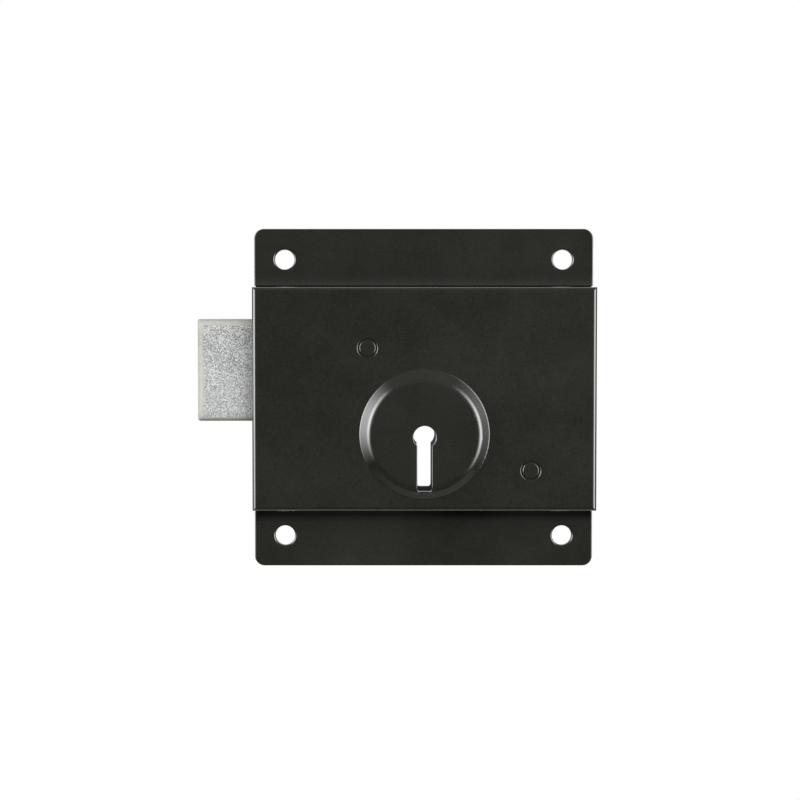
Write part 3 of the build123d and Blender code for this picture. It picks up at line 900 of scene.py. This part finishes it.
@dataclass
class TurnedPillar:
    """A pillar turned from bar, with its front end closed over by a hammer and coated.

    Depths are counted forward from the lock's back. The back rivet stands out of its plate by the
    crown in the middle and by rim_foot where its rim rolls over, and the rim's edge lies rim_fall
    below the plate's face, in a groove. The front edge is struck out of round by waves, each with
    its count round the pillar, its share of the strike and how often the seed turns it.
    """

    node: str
    shoulder_start: float
    seed: float
    panel_inner: float = 15.5 * MM
    panel_outer: float = 17.0 * MM
    plate_front: float = 2.0 * MM
    plate_back: float = 0.5 * MM
    spindle_r: float = 3.0 * MM
    shoulder_r: float = 4.5 * MM
    tenon_r: float = 2.8 * MM
    pin_r: float = 2.4 * MM
    pin_round: float = 0.3 * MM
    pin_points: int = 6
    dish: float = 0.02 * MM
    dish_edge: float = 0.6
    dish_floor: float = 0.2
    groove: float = 0.45 * MM
    back_r: float = 2.4 * MM
    countersink_r: float = 3.1 * MM
    countersink: float = 0.6 * MM
    crown: float = 0.14 * MM
    crown_share: float = 0.4
    rim_foot: float = 0.09 * MM
    rim_fall: float = 0.03 * MM
    rim_round: float = 0.3 * MM
    rim_inset: float = 0.06 * MM
    rim_groove: float = 0.22 * MM
    strike: float = 0.009
    strike_waves: tuple[Point, ...] = ((3, 1.0, 1), (7, 0.7, 2))
    around: int = 96

    def profile(self) -> np.ndarray:
        """Return radius and depth along the pillar, from its back rivet to its front end."""
        turn = np.linspace(0, np.pi / 2, self.pin_points)[::-1]
        pin_x = self.pin_r - self.pin_round * (1 - np.sin(turn))
        pin_y = self.panel_outer - self.pin_round * (1 - np.cos(turn))
        front = np.stack([pin_x, pin_y], axis=-1)
        taper = (self.countersink_r - self.back_r) / self.countersink
        rim = self.countersink_r - taper * self.rim_groove - self.rim_inset
        stem = np.array([
            (self.countersink_r * self.crown_share, self.plate_back - self.crown),
            (rim - self.rim_round, self.plate_back - self.rim_foot), (rim, self.plate_back + self.rim_fall),
            (rim + self.rim_fall, self.plate_back + self.rim_groove),
            (self.back_r, self.plate_back + self.countersink), (self.back_r, self.plate_front),
            (self.spindle_r, self.plate_front), (self.spindle_r, self.shoulder_start),
            (self.shoulder_r, self.shoulder_start), (self.shoulder_r, self.panel_inner),
            (self.tenon_r, self.panel_inner), (self.tenon_r, self.panel_outer - self.groove),
            (self.pin_r, self.panel_outer - self.groove),
        ])
        dish = np.array([
            (self.pin_r * self.dish_edge, self.panel_outer - self.dish),
            (self.pin_r * self.dish_floor, self.panel_outer),
        ])
        return np.concatenate([stem, front, dish])

    def build(self) -> bpy.types.Object:
        """Return the pillar: its profile turned about the depth, the front edge struck out of round.

        The struck radius is r * (1 + a * sum of sines of the angle), with a growing from 0 at the
        groove's floor to about a hundredth at the front.

        Returns:
            The mesh object.
        """
        low, high = (np.array(corner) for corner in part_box(self.node))
        centre = (low + high) / 2
        angle = np.linspace(0, 2 * np.pi, self.around, endpoint=False)[None]
        profile = self.profile()
        r, depth = profile[:, :1], profile[:, 1:]
        waves = sum(
            size * np.sin(count * angle + turns * self.seed) for count, size, turns in self.strike_waves
        )
        share = np.clip((depth - self.panel_outer + self.groove) / self.groove, 0, 1)
        struck = r * (1 + self.strike * share * waves)
        x, z = centre[0] + struck * np.cos(angle), centre[2] + struck * np.sin(angle)
        rings = np.stack([x, -depth * np.ones_like(angle), z], axis=-1)
        return closed_mesh(f"{self.node}_turned", rings)


def tangent_arc(start: np.ndarray, heading: float, end: np.ndarray, count: int) -> tuple[np.ndarray, float]:
    """Return the arc that leaves a point on a heading and reaches another point.

    With a the angle from the heading to the chord and c the chord, the arc turns by 2a, and its
    point at share t lies at c * sin(a t) / sin(a) from the start, on the heading turned by a t.

    Args:
        start: first point, X and Z.
        heading: direction at the start, in radians from +X towards +Z.
        end: last point, X and Z.
        count: points after the first.

    Returns:
        The points after the first, and the heading at the end.
    """
    chord = end - start
    bend = math.atan2(chord[1], chord[0]) - heading
    share = np.linspace(0, 1, count + 1)[1:]
    reach = np.hypot(*chord) * np.sin(bend * share) / math.sin(bend)
    way = heading + bend * share
    points = start + reach[:, None] * np.stack([np.cos(way), np.sin(way)], axis=-1)
    return points, heading + 2 * bend


@dataclass
class LeverSpring:
    """A lever's leaf spring, gripped in the lever's edge and resting under the top of the case.

    The neck and crook are given as shares of the rise from the seat to the tip, and the tip's
    inset as a share of the thickness. Building the spring sets tip and seat, its last point and
    the top of its stem.
    """

    node: str
    seat_grip: float = 2.45 * MM
    thickness: float = 0.4 * MM
    edge: float = 0.08 * MM
    edge_points: int = 3
    neck_height: float = 0.12
    crook_height: float = 0.42
    crook_reach: float = 0.3
    tip_inset: float = 0.1
    stem_points: int = 6
    crook_points: int = 14
    leaf_points: int = 40
    tip: Point = field(default=(0.0, 0.0, 0.0), init=False)
    seat: Point = field(default=(0.0, 0.0, 0.0), init=False)

    def path(self, low: np.ndarray, high: np.ndarray) -> tuple[np.ndarray, np.ndarray]:
        """Return the strip's middle line and headings in X and Z.

        A straight stem rises from the seat, an arc crooks it to the left, and a longer arc carries
        the leaf on to its tip under the case's top.

        Args:
            low: lowest corner of the strip's box.
            high: highest corner of the strip's box.

        Returns:
            The points, shaped (points, 2), and the unit headings.
        """
        seat_x, tip_z = high[0] - self.thickness / 2, high[2] - self.thickness / 2
        top = low[2] + self.seat_grip
        rise = tip_z - top
        neck = np.array([seat_x, top + rise * self.neck_height])
        crook = np.array([seat_x - rise * self.crook_reach, top + rise * self.crook_height])
        tip = np.array([low[0] + self.thickness * self.tip_inset, tip_z])
        climb = np.linspace(low[2], neck[1], self.stem_points)
        stem = np.stack([np.full(self.stem_points, seat_x), climb], axis=-1)
        first, heading = tangent_arc(neck, math.pi / 2, crook, self.crook_points)
        leaf, _ = tangent_arc(crook, heading, tip, self.leaf_points)
        points = np.concatenate([stem, first, leaf])
        way = np.gradient(points, axis=0)
        return points, way / np.linalg.norm(way, axis=1, keepdims=True)

    def build(self) -> bpy.types.Object:
        """Return the strip: a chamfered oblong section carried along the middle line.

        Returns:
            The mesh object.
        """
        low, high = (np.array(corner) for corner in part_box(self.node))
        points, way = self.path(low, high)
        across = np.stack([-way[:, 1], way[:, 0]], axis=-1)
        half_w, half_t = (high[1] - low[1]) / 2, self.thickness / 2
        s, d = section_template(self.edge_points, 0)
        section = s * (np.array([half_w, half_t]) - self.edge) + self.edge * d
        middle_y = (high[1] + low[1]) / 2
        x = points[:, :1] + across[:, :1] * section[None, :, 1]
        z = points[:, 1:] + across[:, 1:] * section[None, :, 1]
        y = middle_y + np.repeat(section[None, :, 0], len(points), axis=0)
        stem_top = points[self.stem_points - 1]
        self.tip = (points[-1, 0], middle_y, points[-1, 1])
        self.seat = (stem_top[0], middle_y, stem_top[1])
        return closed_mesh(f"{self.node}_leaf", np.stack([x, y, z], axis=-1))


@dataclass
class Finishes:
    """All of the lock's materials, one for each slot."""

    plated_steel: DrawnMetal = DrawnMetal(
        Slot.PLATED_STEEL, dark=(0.46, 0.47, 0.48, 1.0), light=(0.62, 0.63, 0.64, 1.0), roughness=0.34
    )
    lever_brass: DrawnMetal = DrawnMetal(
        Slot.LEVER_BRASS, dark=(0.58, 0.42, 0.17, 1.0), light=(0.74, 0.57, 0.27, 1.0), roughness=0.30
    )
    spring_steel: DrawnMetal = DrawnMetal(
        Slot.SPRING_STEEL, dark=(0.20, 0.21, 0.24, 1.0), light=(0.34, 0.35, 0.38, 1.0), roughness=0.30,
        stretch=(1.0, 0.2, 1.0),
    )
    made: dict[Slot, bpy.types.Material] = field(default_factory=dict, init=False)

    def build(self) -> None:
        """Build every finish."""
        self.made = {
            Slot.BLACK_COAT: BlackCoat().build(),
            Slot.ZINC_CASTING: ZincCasting().build(),
            Slot.PILLAR_STEEL: PillarSteel().build(),
        }
        for metal in (self.plated_steel, self.lever_brass, self.spring_steel):
            self.made[metal.slot] = metal.build()

    def dress(self, piece: bpy.types.Object, slot: Slot) -> None:
        """Give a piece its finish.

        Args:
            piece: a CAD node's object or a new piece.
            slot: the material slot it takes.
        """
        if piece.data.materials:
            for number in range(len(piece.data.materials)):
                piece.material_slots[number].material = self.made[slot]
        else:
            piece.data.materials.append(self.made[slot])


@dataclass
class Assembly:
    """Part of the lock: CAD nodes that keep their shape, and pieces that stand for others."""

    nodes: dict[str, bpy.types.Object]
    finishes: Finishes

    def keep(self, carried: dict[str, Slot]) -> None:
        """Dress CAD nodes that keep their shape.

        Args:
            carried: node name to slot.
        """
        for name, slot in carried.items():
            self.finishes.dress(self.nodes[name], slot)
            LOG.info("kept %s in %s", name, slot.value)

    def stand_in(self, piece: bpy.types.Object, node: str, slot: Slot) -> None:
        """Dress a new piece and let it stand for a CAD node.

        Args:
            piece: the new piece.
            node: the node that it replaces.
            slot: the material slot it takes.
        """
        self.finishes.dress(piece, slot)
        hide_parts(node)
        LOG.info("built %s for %s in %s", piece.name, node, slot.value)


@dataclass
class CasePressing(Assembly):
    """The case, its back plate and the two pillars that hold them together."""

    guide_shoulder: float = 7.1 * MM
    guide_seed: float = 0.6
    pivot_shoulder: float = 12.9 * MM
    pivot_seed: float = 2.3

    def build(self) -> None:
        """Dress the case and build the pillars."""
        self.keep({
            "case": Slot.BLACK_COAT, "back_plate": Slot.PLATED_STEEL, "guide_washer": Slot.PLATED_STEEL,
        })
        for node, shoulder, seed in (
            ("guide_pillar", self.guide_shoulder, self.guide_seed),
            ("pivot_pillar", self.pivot_shoulder, self.pivot_seed),
        ):
            piece = TurnedPillar(node, shoulder, seed).build()
            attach(piece, Body.CASE.value)
            self.stand_in(piece, node, Slot.PILLAR_STEEL)


@dataclass
class Deadbolt(Assembly):
    """The bolt: cast head, steel tail, the rivets that join them and the stump."""

    def build(self) -> None:
        """Build the head and dress the rest."""
        head = BoltCasting().build()
        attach(head, Body.BOLT.value)
        self.stand_in(head, "bolt_head", Slot.ZINC_CASTING)
        self.keep({
            "bolt_tail": Slot.PLATED_STEEL, "bolt_rivets": Slot.PILLAR_STEEL,
            "bolt_stump": Slot.PILLAR_STEEL,
        })


@dataclass
class LeverPack(Assembly):
    """The two levers with their springs, separator and spacer."""

    def build(self) -> None:
        """Dress the levers and rings, and build the springs."""
        self.keep({
            "lever_back": Slot.LEVER_BRASS, "lever_front": Slot.LEVER_BRASS,
            "lever_separator": Slot.PLATED_STEEL, "pivot_spacer": Slot.PILLAR_STEEL,
        })
        for node, body in (
            ("lever_spring_back", Body.LEVER_BACK), ("lever_spring_front", Body.LEVER_FRONT),
        ):
            spring = LeverSpring(node)
            piece = spring.build()
            self.stand_in(piece, node, Slot.SPRING_STEEL)
            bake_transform(piece)


@dataclass(frozen=True)
class TentWall:
    """One glowing wall of the light tent, with edges that fade out; angles in degrees.

    The lean is counted from the front, and the climb is the clock angle up from the wall's side.
    """

    side: float
    lean: float
    lean_half: float
    lean_fade: float
    climb: float
    climb_half: float
    climb_fade: float
    radiance: float

    def glow(self, sheet: Sheet, way: bpy.types.Node) -> Socket:
        """Return the wall's radiance in a direction.

        Args:
            sheet: the world's sheet.
            way: the node that gives the direction's X, Y and Z.

        Returns:
            The radiance: full within both half widths, and falling to nothing over the fades.
        """
        to_front = sheet.times(way.outputs["Y"], -1.0)
        to_side = sheet.times(way.outputs["X"], self.side)
        lean = sheet.maths("DEGREES", sheet.maths("ARCCOSINE", to_front))
        climb = sheet.maths("DEGREES", sheet.maths("ARCTAN2", way.outputs["Z"], to_side))
        shares = []
        for angle, middle, half, fade in (
            (lean, self.lean, self.lean_half, self.lean_fade),
            (climb, self.climb, self.climb_half, self.climb_fade),
        ):
            off = sheet.unsigned(sheet.minus(angle, middle))
            shares.append(sheet.remap(off, half, half + fade, 1.0, 0.0))
        return sheet.times(sheet.times(*shares), self.radiance)


@dataclass(frozen=True)
class LightTent:
    """The surroundings: a light tent round the front, white behind the lock and to the eye.

    The tent is dim round the camera and overhead, and glows in two walls and faintly in a third.
    Ranges are of a direction's X, Y or Z, over which one part of the tent gives way to the next.
    """

    ceiling: float = 0.13
    ceiling_range: Pair = (0.05, 0.35)
    haze: float = 0.28
    low_haze: float = 0.62
    haze_range: Pair = (-0.15, -0.115)
    haze_ahead: Pair = (-0.985, -0.92)
    haze_above: Pair = (-0.22, -0.17)
    back_glow: float = 0.7
    back_range: Pair = (0.1, 0.6)
    back_spread: float = 0.55
    back_low: float = 0.35
    spread_range: Pair = (-0.5, 0.7)
    middle_range: Pair = (0.1, 0.5)
    walls: tuple[TentWall, ...] = (
        TentWall(-1, 58, 6, 40, 11, 3, 42, 5.3),
        TentWall(1, 53, 9, 31, 6, 6, 48, 4.9),
        TentWall(1, 22, 5, 8, 78, 25, 60, 0.30),
    )

    def front(self, sheet: Sheet, way: bpy.types.Node) -> Socket:
        """Return the light that comes from the tent: its ceiling, the haze round the camera and the walls.

        Args:
            sheet: the world's sheet.
            way: the node that gives the direction's X, Y and Z.

        Returns:
            The radiance.
        """
        up, forward = way.outputs["Z"], way.outputs["Y"]
        ceiling = sheet.remap(up, *self.ceiling_range, 0.0, self.ceiling)
        level = sheet.remap(up, *self.haze_range, self.low_haze, self.haze)
        ahead = sheet.times(
            sheet.remap(forward, *self.haze_ahead, 1.0, 0.0), sheet.remap(up, *self.haze_above)
        )
        tent = sheet.plus(ceiling, sheet.times(ahead, level))
        for wall in self.walls:
            tent = sheet.plus(tent, wall.glow(sheet, way))
        return tent

    def behind(self, sheet: Sheet, way: bpy.types.Node) -> Socket:
        """Return the share of the white back, full in the middle and less to the sides and below.

        Args:
            sheet: the world's sheet.
            way: the node that gives the direction's X, Y and Z.

        Returns:
            The share.
        """
        middle = sheet.remap(sheet.unsigned(way.outputs["X"]), *self.middle_range, 1.0, 0.0)
        lowest = self.back_low * self.back_spread
        spread = sheet.remap(way.outputs["Z"], *self.spread_range, lowest, self.back_spread)
        spread = sheet.blend(middle, spread, 1.0)
        return sheet.times(sheet.remap(way.outputs["Y"], *self.back_range), spread)

    def build(self) -> None:
        """Make the world. The eye sees plain white, and mirrored and glass rays the full white back."""
        world = bpy.data.worlds.new("studio")
        bpy.context.scene.world = world
        world.use_nodes = True
        sheet = Sheet(world.node_tree)
        way = sheet.axes(sheet.node("TexCoord").outputs["Generated"])
        rays = sheet.node("LightPath").outputs
        mirrored = sheet.maths("ADD", rays["Is Glossy Ray"], rays["Is Transmission Ray"], clamp=True)
        back = sheet.times(self.behind(sheet, way), sheet.blend(mirrored, self.back_glow, 1.0))
        around = sheet.plus(self.front(sheet, way), back)
        strength = sheet.blend(rays["Is Camera Ray"], around, 1.0)
        background = sheet.node("Background", {"Color": WHITE, "Strength": strength})
        sheet.node("OutputWorld", {"Surface": background.outputs[0]})


@dataclass(frozen=True)
class Floor:
    """A round pale floor below the lock, plain white to the eye away from the lock's shadow.

    All rays but the eye's find it dark in front of the lock, where a black card keeps its light
    off the lower bends.
    """

    drop: float = 0.30
    radii: tuple[float, ...] = (0.11, 0.22, 0.34, 0.45)
    around: int = 64
    grey: Colour = (0.68, 0.68, 0.68, 1.0)
    card: Colour = (0.05, 0.05, 0.05, 1.0)
    card_range: Pair = (-0.05, 0.03)
    near_share: float = 0.55
    far_range: Pair = (0.25, 0.43)

    def material(self) -> bpy.types.Material:
        """Return the floor's material: matt grey that glows white to the eye, and all white far out."""
        material, sheet = new_material("pale_floor")
        place = sheet.place()
        reach = sheet.node("VectorMath", {0: place}, operation="LENGTH").outputs["Value"]
        seen = sheet.node("LightPath").outputs["Is Camera Ray"]
        before = sheet.remap(sheet.axes(place).outputs["Y"], *self.card_range, 1.0, 0.0)
        card = sheet.times(before, sheet.minus(1.0, seen))
        matt = sheet.node("BsdfDiffuse", {"Color": sheet.mix(card, self.grey, self.card)})
        glow = sheet.node("Emission", {"Color": WHITE, "Strength": 1.0})
        far = sheet.remap(reach, *self.far_range)
        share = sheet.times(sheet.blend(far, self.near_share, 1.0), seen)
        both = sheet.node("MixShader", {0: share, 1: matt.outputs[0], 2: glow.outputs[0]})
        sheet.node("OutputMaterial", {"Surface": both.outputs[0]})
        return material

    def build(self) -> None:
        """Lay the floor: rings of points at one height, quads between them and one face in the middle."""
        turn = np.linspace(0, 2 * np.pi, self.around, endpoint=False)
        radii = np.array(self.radii)[:, None]
        shape = (len(self.radii), self.around)
        z = np.full(shape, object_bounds()[0][2] - self.drop)
        rings = np.stack([radii * np.cos(turn), radii * np.sin(turn), z], axis=-1)
        index = np.arange(z.size).reshape(shape)
        beside = np.roll(index, -1, axis=1)
        quads = np.stack([index[:-1], index[1:], beside[1:], beside[:-1]], axis=-1).reshape(-1, 4)
        made = add_mesh("floor", rings.reshape(-1, 3), [index[0].tolist()] + quads.tolist())
        made.data.materials.append(self.material())
        made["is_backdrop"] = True


@dataclass(frozen=True)
class Camera:
    """The camera at the photograph's viewing angle."""

    place: Point = (-7.1 * MM, -383 * MM, 10.2 * MM)
    pitch: float = 1.63
    lens: float = 56.97
    sensor: float = 36.0
    near: float = 0.01

    def build(self) -> None:
        """Place the camera and make it the scene's own."""
        data = bpy.data.cameras.new("camera")
        data.lens, data.sensor_width, data.clip_start = self.lens, self.sensor, self.near
        made = bpy.data.objects.new("camera", data)
        bpy.context.scene.collection.objects.link(made)
        made.location = self.place
        made.rotation_euler = (math.radians(90 - self.pitch), 0, 0)
        bpy.context.scene.camera = made


def main() -> None:
    """Load the frame, build the lock's parts in order, and set the studio."""
    logging.basicConfig(level=logging.INFO, format="%(name)s: %(message)s")
    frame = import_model()
    finishes = Finishes()
    finishes.build()
    for assembly in (CasePressing, Deadbolt, LeverPack):
        assembly(frame["nodes"], finishes).build()
    for stage in (Camera, LightTent, Floor):
        stage().build()
    bpy.context.scene.view_settings.view_transform = "Standard"


if __name__ == "__main__":
    main()
